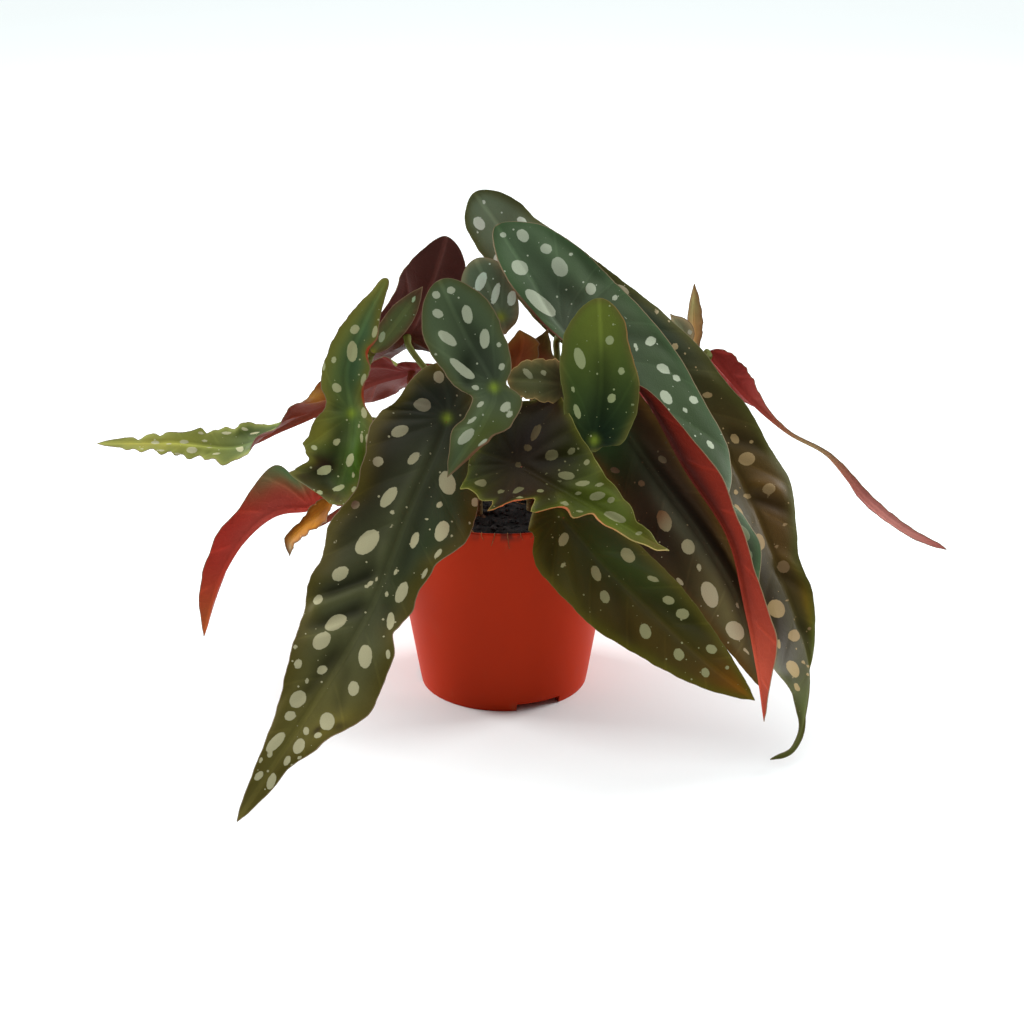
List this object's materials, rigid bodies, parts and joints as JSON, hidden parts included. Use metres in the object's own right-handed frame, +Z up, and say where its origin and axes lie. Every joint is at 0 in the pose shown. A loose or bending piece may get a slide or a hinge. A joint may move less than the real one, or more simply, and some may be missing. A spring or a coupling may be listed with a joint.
{
  "type": "potted polka dot begonia",
  "caption": "Begonia with silver-spotted, wing-shaped leaves on jointed canes, standing in a thin round plastic nursery pot filled with potting soil.",
  "frame": {"origin": "On the ground under the middle of the pot, which is also the middle of the bottom of the whole plant's bounding box.", "axes": "+Z up. +X to the right as the plant is seen from its front, across its widest spread. -Y towards the viewer of its front."},
  "size_m": [0.4348, 0.3714, 0.2555],
  "materials": {
    "pot": "satin",
    "soil": "matte",
    "cane": "satin",
    "leaf_blue_green": "satin",
    "leaf_dark": "satin",
    "leaf_bright": "satin",
    "leaf_olive": "satin",
    "leaf_brown": "satin",
    "leaf_maroon": "satin",
    "leaf_red": "satin",
    "leaf_withered": "matte",
    "leaf_bud": "matte",
    "stipule": "matte"
  },
  "bodies": {
    "root": {"pot": "pot", "soil": "soil", "cane_left": "cane", "cane_right": "cane", "cane_back": "cane", "leaf_front_left": "leaf_dark", "leaf_left_bright": "leaf_bright", "leaf_young_centre": "leaf_blue_green", "leaf_upright_right": "leaf_olive", "leaf_dark_right": "leaf_brown", "leaf_low_centre": "leaf_brown", "leaf_low_right": "leaf_dark", "leaf_large_right": "leaf_blue_green", "leaf_behind_right": "leaf_blue_green", "leaf_maroon_back": "leaf_maroon", "leaf_far_left": "leaf_red", "leaf_red_left": "leaf_red", "leaf_withered": "leaf_withered", "leaf_small_olive": "leaf_olive", "leaf_far_right": "leaf_maroon", "leaf_small_centre": "leaf_blue_green", "leaf_small_left": "leaf_bright", "leaf_bud_right": "leaf_bud", "leaf_young_right": "leaf_blue_green", "stipule_left": "stipule", "stipule_right": "stipule", "leaf_back_right": "leaf_dark", "leaf_back_left": "leaf_blue_green", "leaf_back_low": "leaf_dark"}
  },
  "joints": []
}
